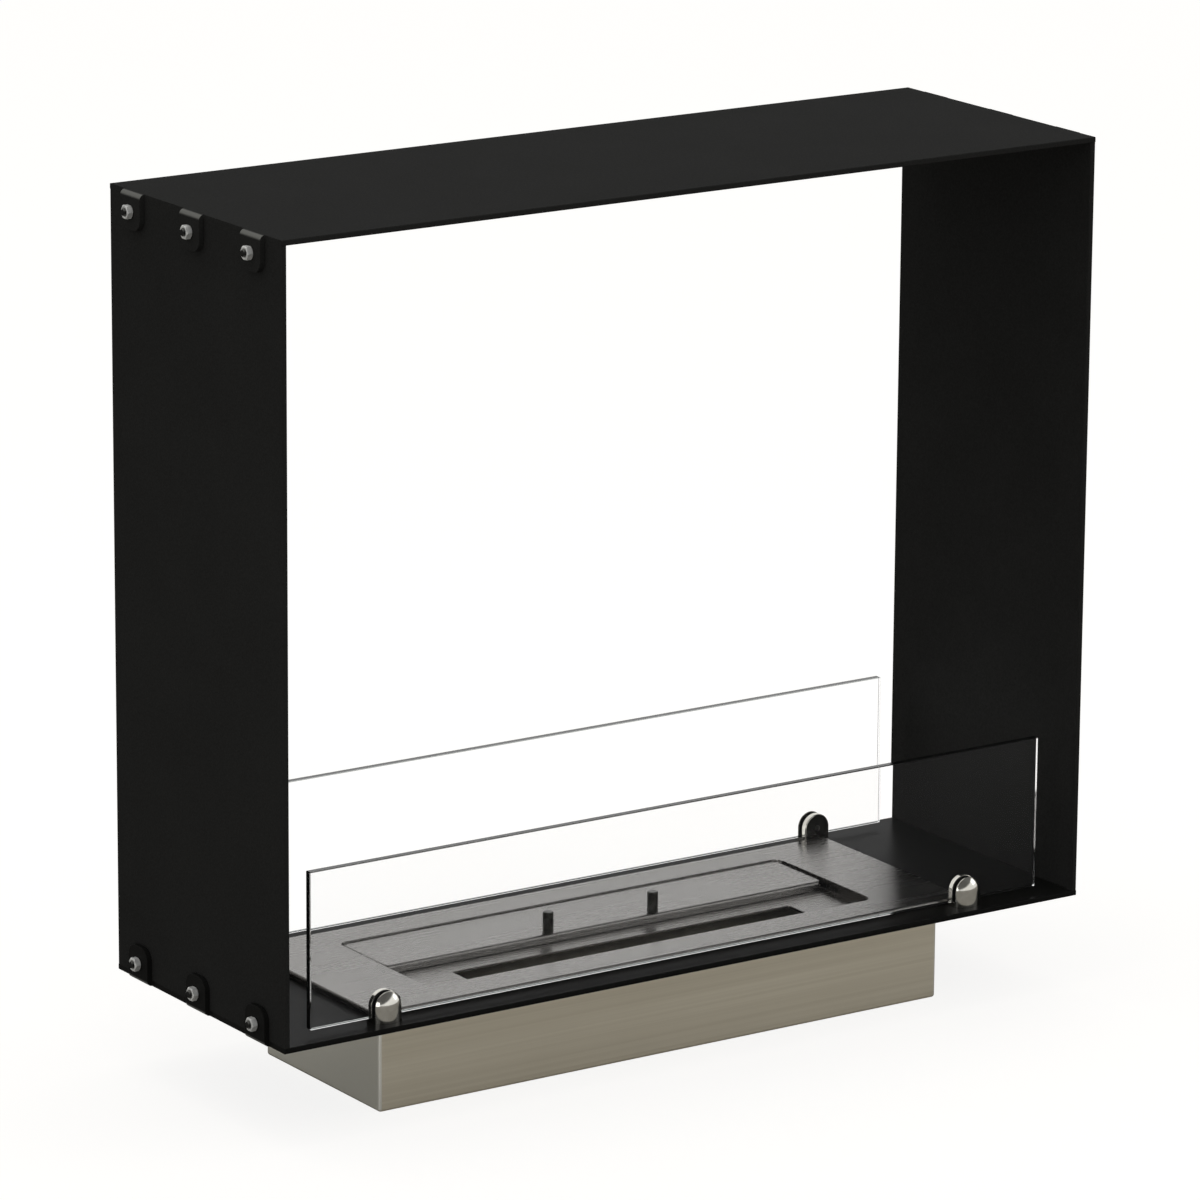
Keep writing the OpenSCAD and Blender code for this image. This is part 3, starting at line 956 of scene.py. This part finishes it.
@dataclass
class SideFasteners:
    """The threaded studs welded to one side panel, with their hexagon nuts."""

    side: Side
    panel_face: float = 300.0 * MM
    tab_face: float = 303.5 * MM
    stud_end: float = 308.7 * MM
    nut_end: float = 307.5 * MM
    rows_y: tuple[float, ...] = (-70.0 * MM, 0.0, 70.0 * MM)
    rows_z: tuple[float, ...] = (75.0 * MM, 551.0 * MM)
    thread_radius: float = 2.48 * MM
    thread_depth: float = 0.42 * MM
    tip_radius: float = 1.986 * MM
    pitch: float = 0.8 * MM
    rings_a_pitch: int = 8
    across_flats: float = 8.0 * MM
    # The crown's flat as a share of the flats' distance, its slope, and the
    # heights of the rings over it
    crown: float = 0.94
    crown_degrees: float = 30.0
    crown_steps_mm: tuple[float, ...] = (0.0, 0.06, 0.12, 0.2, 0.3, 0.42, 0.6)
    bore_radius: float = 2.5 * MM
    bore_flare: float = 0.35 * MM
    around: int = 48

    def placed(self, along: np.ndarray, across: np.ndarray, up: np.ndarray) -> np.ndarray:
        """Turns a shape about the X axis into points on this side.

        The ring runs from Y to Z on the right and from Z to Y on the left, so
        that it is counter-clockwise seen from the stud's end on both.

        Args:
            along: Distance out from the middle plane for every grid point.
            across: The ring's first direction.
            up: The ring's second direction.

        Returns:
            The points as a (rings, around, 3) grid.
        """
        pair = (across, up) if self.side is Side.RIGHT else (up, across)
        return np.stack([self.side.value * along, *pair], axis=-1)

    def stud(self) -> np.ndarray:
        """Works out one threaded stud on the X axis.

        The radius at length a and angle v is the crest's, less the depth times
        a triangle wave of a / pitch - v / turn, and near the end it is held
        under a 45 degree chamfer.

        Returns:
            The stud's (rings, around, 3) grid.
        """
        rings = int((self.stud_end - self.panel_face) / self.pitch * self.rings_a_pitch)
        a, v = np.meshgrid(
            np.linspace(self.panel_face, self.stud_end, rings),
            np.linspace(0, 2 * np.pi, self.around, endpoint=False),
            indexing="ij",
        )
        wave = np.abs(2 * ((a / self.pitch - v / (2 * np.pi)) % 1) - 1)
        chamfer = self.tip_radius + (self.stud_end - a)
        radius = np.minimum(self.thread_radius - self.thread_depth * wave, chamfer)
        return self.placed(a, radius * np.cos(v), radius * np.sin(v))

    def nut(self) -> np.ndarray:
        """Works out one hexagon nut on the X axis.

        The outline's radius at angle v is half the flats' distance over the
        cosine of the angle from the nearest flat. A crown limits it near both
        faces, and the profile then goes in over the outer face, down the flared
        bore and back out over the seat.

        Returns:
            The nut's (rings, around, 3) grid, whose last ring joins the first.
        """
        half = self.across_flats / 2
        rim = half * self.crown
        thick = self.nut_end - self.tab_face
        rise = np.array(self.crown_steps_mm) * MM
        a_out = np.concatenate([rise, thick - rise[::-1]])
        slope = 1 / math.tan(math.radians(self.crown_degrees))
        limit = rim + np.minimum(a_out, thick - a_out) * slope
        bore = self.bore_radius
        a_in = np.array([thick, thick - self.bore_flare, self.bore_flare, 0.0])
        r_in = np.array([bore + self.bore_flare, bore, bore, bore + self.bore_flare])
        v = np.linspace(0, 2 * np.pi, 2 * self.around, endpoint=False)
        sixth = np.pi / 3
        hexagon = half / np.cos((v + sixth / 2) % sixth - sixth / 2)
        outer = np.minimum(hexagon[None, :], limit[:, None])
        inner = np.repeat(r_in[:, None], len(v), axis=1)
        radius = np.vstack([outer, inner])
        a = np.repeat(np.concatenate([a_out, a_in])[:, None], len(v), axis=1)
        return self.placed(self.tab_face + a, radius * np.cos(v), radius * np.sin(v))

    def on_rows(self, shape: np.ndarray) -> list[np.ndarray]:
        """Gives a copy of the shape for each stud of this side."""
        return [shape + np.array([0.0, y, z]) for z in self.rows_z for y in self.rows_y]

    def build(self, stud_finish: Finish, nut_finish: Finish) -> None:
        """Makes this side's studs and nuts, and dresses them."""
        word = self.side.name.lower()
        studs = make_piece(
            f"{word}_threads", self.on_rows(self.stud()), Ends.CAPPED, sharp_degrees=50.0
        )
        add_piece(studs, stud_finish, "frame", [f"{word}_panel_studs"])
        nuts = make_piece(
            f"{word}_hex_nuts", self.on_rows(self.nut()), Ends.JOINED, sharp_degrees=25.0
        )
        add_piece(nuts, nut_finish, "frame", [f"{word}_panel_nuts"])


@dataclass
class SteelFrame:
    """The four panels that make the see-through frame, and their fastenings."""

    coat: Finish
    darkened_smooth_coat: Finish
    zinc: Finish
    panels: tuple[str, ...] = ("top_panel", "left_panel", "right_panel")
    sides: tuple[Side, ...] = (Side.LEFT, Side.RIGHT)

    def build(self, nodes: Mapping[str, bpy.types.Object]) -> None:
        """Coats the panels and adds both sides' studs and nuts."""
        dress_nodes(nodes, self.panels, self.coat)
        # The bottom panel's darker coat is painted shade
        dress_nodes(nodes, ("bottom_panel",), self.darkened_smooth_coat)
        for side in self.sides:
            SideFasteners(side).build(self.coat, self.zinc)


@dataclass
class GlassScreens:
    """The two glass panes with the clamps that hold them to the bottom panel."""

    glass: Finish
    clamp: Finish
    rubber: Finish
    screw: Finish
    corners: tuple[str, ...] = ("front_left", "front_right", "rear_left", "rear_right")

    def build(self, nodes: Mapping[str, bpy.types.Object]) -> None:
        """Dresses panes, clamps, liners and screws."""
        dress_nodes(nodes, ("front_glass", "rear_glass"), self.glass)
        dress_nodes(nodes, [f"clamp_{corner}" for corner in self.corners], self.clamp)
        dress_nodes(nodes, [f"liner_{corner}" for corner in self.corners], self.rubber)
        dress_nodes(nodes, ("clamp_set_screws", "clamp_base_screws"), self.screw)


@dataclass
class FibreBlock:
    """The block of ceramic fibre blanket that soaks up the fuel in the tank."""

    half_length: float = 162.8 * MM
    half_width: float = 46.3 * MM
    bottom: float = 7.8 * MM
    top: float = 51.9 * MM
    corner: float = 7.0 * MM
    edge: float = 3.0 * MM
    layers: int = 3
    groove: float = 1.4 * MM
    groove_width: float = 1.3 * MM
    swell: float = 0.5 * MM
    dimple: float = 0.8 * MM
    # Radians a metre along X and Y of the two waves that swell the sides
    swell_waves: tuple[tuple[float, float], ...] = ((61, 23), (-17, 97))
    # Radians a metre, and the start, of the dimples' waves along X and Y
    dimple_waves: tuple[tuple[float, float], ...] = ((148, 1.3), (171, 0.6))
    around: int = 320
    cover_rings: int = 14
    edge_rings: int = 6
    side_rings: int = 40
    # The covers' innermost ring as a share of the plan
    cover_start: float = 0.04

    def outline(self) -> tuple[np.ndarray, np.ndarray]:
        """Works out the rounded plan of the block.

        The points run round an inner rectangle at an even pace. Each is pushed
        out by the corner's radius along its angle, which holds still on a
        straight side and turns by a quarter while the run stands at a corner.

        Returns:
            The plan's points and the ways out from them, each (around, 2).
        """
        flat_x, flat_y = self.half_length - self.corner, self.half_width - self.corner
        arc = np.pi / 2 * self.corner
        sides = np.tile([2 * flat_y, arc, 2 * flat_x, arc], 2)
        starts = np.concatenate([[0.0], np.cumsum(sides)])
        run = np.linspace(0, starts[-1], self.around, endpoint=False)
        # Straight sides and arcs take turns, and the angle only grows on an arc
        angle = np.interp(run, starts, np.repeat(np.arange(5), 2)[:-1] * np.pi / 2)
        x = flat_x * np.interp(run, starts, [1, 1, 1, -1, -1, -1, -1, 1, 1])
        y = flat_y * np.interp(run, starts, [-1, 1, 1, 1, 1, -1, -1, -1, -1])
        out = np.stack([np.cos(angle), np.sin(angle)], axis=-1)
        return np.stack([x, y], axis=-1) + self.corner * out, out

    def surface(self) -> np.ndarray:
        """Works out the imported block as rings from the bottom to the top.

        The rings follow a profile: out over the bottom, round an edge, up the
        side and in over the top. On the side each joint between two layers is
        pressed in by a bell curve of the height. Slow sine waves along the
        plan make the sides swell, and others make the top dimpled.

        Returns:
            The block's (rings, around, 3) grid.
        """
        plan, out = self.outline()
        quarter = np.linspace(0, np.pi / 2, self.edge_rings)
        side = np.linspace(self.bottom + self.edge, self.top - self.edge, self.side_rings)[1:-1]
        cover = np.linspace(self.cover_start, 1.0, self.cover_rings)
        level = np.ones(self.cover_rings)
        rise, fall = self.edge * (1 - np.cos(quarter)), self.edge * (1 - np.sin(quarter))
        inset = np.concatenate(
            [level * self.edge, fall, np.zeros(len(side)), rise, level * self.edge]
        )
        height = np.concatenate(
            [level * self.bottom, self.bottom + rise, side, self.top - fall, level * self.top]
        )
        reach = np.concatenate([cover, np.ones(2 * self.edge_rings + len(side)), cover[::-1]])
        deep = (self.top - self.bottom) / self.layers
        joints = self.bottom + deep * np.arange(1, self.layers)
        pressed = self.groove * np.exp(
            -(((height[:, None] - joints) / self.groove_width) ** 2)
        ).sum(axis=1)
        swell = self.swell * (np.sin(plan @ np.array(self.swell_waves).T).prod(axis=1) - 1)
        push = (swell[None, :] - pressed[:, None] - inset[:, None])[..., None] * out
        points = plan * reach[:, None, None] + push
        pace, start = np.array(self.dimple_waves).T
        dimples = np.sin(points * pace + start).prod(axis=-1)
        lowered = self.dimple * (1 - dimples) / 2 * (height > self.top - self.edge)[:, None]
        z = np.repeat(height[:, None], self.around, axis=1) - lowered
        return np.concatenate([points, z[..., None]], axis=-1)

    def build(self, finish: Finish) -> None:
        """Makes the block in place of its plain CAD solid."""
        piece = make_piece("fibre_blanket", [self.surface()], Ends.CAPPED, sharp_degrees=60.0)
        add_piece(piece, finish, "burner", ["fibre_block"])


@dataclass
class Burner:
    """The drop-in burner: deck, recessed tray, casing, tank and fibre."""

    deck: Finish
    casing: Finish
    tank: Finish
    fibre: Finish
    block: FibreBlock = field(default_factory=FibreBlock)

    def build(self, nodes: Mapping[str, bpy.types.Object]) -> None:
        """Dresses the steel parts and makes the fibre block."""
        dress_nodes(nodes, ("burner_deck", "lid_tray"), self.deck)
        dress_nodes(nodes, ("burner_casing",), self.casing)
        dress_nodes(nodes, ("fuel_tank",), self.tank)
        self.block.build(self.fibre)


@dataclass
class SlidingLid:
    """The lid that slides over the flame slot, with its two grip pins."""

    sheet: Finish
    pin: Finish

    def build(self, nodes: Mapping[str, bpy.types.Object]) -> None:
        """Dresses the lid and its pins."""
        dress_nodes(nodes, ("sliding_lid",), self.sheet)
        dress_nodes(nodes, ("lid_pins",), self.pin)


# ---------------------------------------------------------------------- studio


@dataclass
class Lamp:
    """A soft square lamp aimed at a point."""

    name: str
    place: tuple[float, float, float]
    aim: tuple[float, float, float]
    watts: float
    width: float
    colour: str = WHITE

    def build(self) -> None:
        """Hangs the lamp and turns it to its aim."""
        light = bpy.data.lights.new(self.name, "AREA")
        light.energy, light.size = self.watts, self.width
        light.color = linear(self.colour)[:3]
        lamp = bpy.data.objects.new(self.name, light)
        bpy.context.scene.collection.objects.link(lamp)
        lamp.location = self.place
        way = Vector(self.aim) - Vector(self.place)
        lamp.rotation_euler = way.to_track_quat("-Z", "Y").to_euler()
        log.info("hung lamp %s", self.name)


@dataclass
class Studio:
    """The white floor, the even sky, the soft lamps and the camera."""

    floor_half: float = 30.0
    sky: str = "#ffffff"
    sky_light: float = 0.55
    sky_seen: float = 1.0
    # The room behind the camera is dimmer than the white wall behind the object,
    # but for a bright band over the floor whose top climbs towards the right
    room_in_metal: float = 0.12
    room_turn: float = 0.25
    band_reach: float = 0.6
    band_left: float = 0.1
    band_right: float = 0.6
    band_fade: float = 0.08
    azimuth: float = -0.5928320764634406
    elevation: float = 0.25912767890415334
    roll: float = 0.007445865136229927
    eye: tuple[float, float, float] = (-2.3500, -3.4785, 1.3940)
    sensor: float = 36.0
    focal_share: float = 6906.66 / 1200
    sight: float = 100.0
    lamps: tuple[Lamp, ...] = (
        Lamp("overhead_lamp", (-0.3, 0.2, 2.6), (0.0, 0.0, 0.3), 7.5, 1.6),
        Lamp("side_lamp", (1.9, -0.95, 1.05), (0.0, 0.0, 0.1), 3.5, 0.9),
        Lamp("bend_lamp", (-1.7, -1.15, 0.35), (0.0, 0.0, 0.05), 3.5, 0.7),
    )

    def floor(self, finish: Finish) -> None:
        """Lays the floor, a flat square round the object."""
        edge = self.floor_half
        mesh = bpy.data.meshes.new("studio_floor")
        mesh.from_pydata(
            [(-edge, -edge, 0), (edge, -edge, 0), (edge, edge, 0), (-edge, edge, 0)],
            [], [(0, 1, 2, 3)],
        )
        mesh.materials.append(finish.material())
        floor = bpy.data.objects.new("studio_floor", mesh)
        bpy.context.scene.collection.objects.link(floor)

    def world(self) -> None:
        """Sets a white sky: full white where it is seen, dimmer as light.

        In metal it shows as white at the back and as the dim room at the front,
        with a soft turn between the two across the sky's middle. The bright band
        over the floor lies on top, wherever a ray's height is under the band's.
        """
        world = bpy.data.worlds.new("white_sky")
        bpy.context.scene.world = world
        world.use_nodes = True
        tree = world.node_tree
        tree.nodes.clear()
        path = add_node(tree, "ShaderNodeLightPath")
        way = add_node(tree, "ShaderNodeTexCoord")
        split = add_node(
            tree, "ShaderNodeSeparateXYZ", links={"Vector": way.outputs["Generated"]}
        )
        room = add_node(
            tree, "ShaderNodeMapRange",
            {
                "interpolation_type": "SMOOTHSTEP",
                "From Min": -self.room_turn, "From Max": self.room_turn,
                "To Min": self.room_in_metal, "To Max": self.sky_seen,
            },
            {"Value": split.outputs["Y"]},
        )
        band_top = add_node(
            tree, "ShaderNodeMapRange",
            {
                "From Min": -self.band_reach, "From Max": self.band_reach,
                "To Min": self.band_left, "To Max": self.band_right,
            },
            {"Value": split.outputs["X"]},
        )
        under = add_node(
            tree, "ShaderNodeMath", {"operation": "SUBTRACT"},
            {0: band_top.outputs["Result"], 1: split.outputs["Z"]},
        )
        band = add_node(
            tree, "ShaderNodeMapRange",
            {
                "interpolation_type": "SMOOTHSTEP",
                "From Min": -self.band_fade, "From Max": self.band_fade,
                "To Max": self.sky_seen,
            },
            {"Value": under.outputs["Value"]},
        )
        mirrored = add_node(
            tree, "ShaderNodeMath", {"operation": "MAXIMUM"},
            {0: room.outputs["Result"], 1: band.outputs["Result"]},
        )
        seen = add_node(
            tree, "ShaderNodeMath", {"operation": "MAXIMUM"},
            {0: path.outputs["Is Camera Ray"], 1: path.outputs["Is Transmission Ray"]},
        )
        plain = add_node(
            tree, "ShaderNodeMapRange", {"To Min": self.sky_light, "To Max": self.sky_seen},
            {"Value": seen.outputs["Value"]},
        )
        level = add_node(
            tree, "ShaderNodeMix", {"data_type": "FLOAT"},
            {
                MIX_FACTOR: path.outputs["Is Glossy Ray"],
                MIX_NUMBER_A: plain.outputs["Result"],
                MIX_NUMBER_B: mirrored.outputs["Value"],
            },
        )
        light = add_node(
            tree, "ShaderNodeBackground", {"Color": linear(self.sky)},
            {"Strength": level.outputs["Result"]},
        )
        add_node(tree, "ShaderNodeOutputWorld", links={"Surface": light.outputs["Background"]})

    def camera(self) -> None:
        """Places the camera where the photograph was taken from.

        Its back way points from the object to the eye by azimuth and
        elevation. Right is level, and both turn by the roll about it.
        """
        az, el = self.azimuth, self.elevation
        back = Vector(
            (math.sin(az) * math.cos(el), -math.cos(az) * math.cos(el), math.sin(el))
        )
        level = Vector((math.cos(az), math.sin(az), 0.0))
        upright = back.cross(level)
        right = math.cos(self.roll) * level + math.sin(self.roll) * upright
        up = math.cos(self.roll) * upright - math.sin(self.roll) * level
        data = bpy.data.cameras.new("photo_camera")
        data.sensor_width = self.sensor
        data.lens = self.sensor * self.focal_share
        data.clip_end = self.sight
        camera = bpy.data.objects.new("photo_camera", data)
        bpy.context.scene.collection.objects.link(camera)
        camera.matrix_world = Matrix.Translation(self.eye) @ Matrix(
            (right, up, back)
        ).transposed().to_4x4()
        bpy.context.scene.camera = camera

    def build(self, finish: Finish) -> None:
        """Lays the floor, lights the scene and places the camera."""
        self.camera()
        self.floor(finish)
        self.world()
        for lamp in self.lamps:
            lamp.build()
        bpy.context.scene.view_settings.view_transform = "Standard"


def main() -> None:
    """Loads the frame, builds each sub-assembly in turn and sets the studio."""
    logging.basicConfig(level=logging.INFO, format="%(name)s: %(message)s")
    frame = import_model()
    nodes = frame["nodes"]

    Studio().build(WhiteSweep("matt_white_studio_paper", "studio"))
    SteelFrame(
        coat=PowderCoat("black_fine_texture_powder_coat", "black_steel"),
        # The level panel that carries the burner is wiped, and so a little smoother and
        # shinier. Its coat is also painted darker, as painted shade for a panel that
        # lies in the frame's shade under the top panel
        darkened_smooth_coat=PowderCoat(
            "shade_darkened_smooth_powder_coat", "black_steel",
            dark="#151514", light="#1d1d1c", shine=0.017, roughness=0.32,
        ),
        # Plating crystals scatter part of the light, so it isn't all metal
        zinc=MachinedSteel(
            "dull_zinc_plated_steel", "zinc_steel",
            dark="#c9cac8", light="#e4e4e0", metal=0.4, roughness=0.5, tarnish_mm=3.0,
        ),
    ).build(nodes)
    GlassScreens(
        glass=FloatGlass("clear_toughened_float_glass", "clear_glass"),
        clamp=MachinedSteel(
            "polished_cast_stainless", "clamp_steel", dark="#d2cfc6", light="#e1dfd7",
            roughness=0.14,
        ),
        rubber=SoftRubber("moulded_epdm_rubber", "liner_rubber"),
        screw=MachinedSteel(
            "plain_stainless_screws", "screw_steel",
            dark="#6a6a68", light="#8c8c88", roughness=0.3, tarnish_mm=2.0,
        ),
    ).build(nodes)
    belt_brushed = BrushedSteel("belt_brushed_stainless", "burner_steel")
    Burner(
        deck=belt_brushed,
        # The casing's end faces are painted lighter as painted light, and its upright corners
        # carry a bright painted highlight
        casing=BrushedSteel(
            "warm_brushed_stainless", "burner_steel",
            dark="#e3dac5", light="#ede5d1", ends="#f4f2e6", corner="#fdfbf2",
            roughness=0.3, stretch=0.8,
        ),
        # The tank's upright corners carry a lighter painted highlight, and its end faces a
        # painted tone close to its own
        tank=BrushedSteel(
            "mill_finish_stainless", "burner_steel",
            dark="#85847f", light="#9a9993", ends="#8f8e89", corner="#a5a49e",
            roughness=0.38, stretch=0.3,
        ),
        fibre=CeramicFibre("needled_ceramic_fibre", "ceramic_fibre"),
    ).build(nodes)
    SlidingLid(
        sheet=belt_brushed,
        pin=MachinedSteel(
            "blackened_turned_steel", "screw_steel",
            dark="#3c3c39", light="#595955", roughness=0.3, tarnish_mm=4.0,
        ),
    ).build(nodes)


if __name__ == "__main__":
    main()
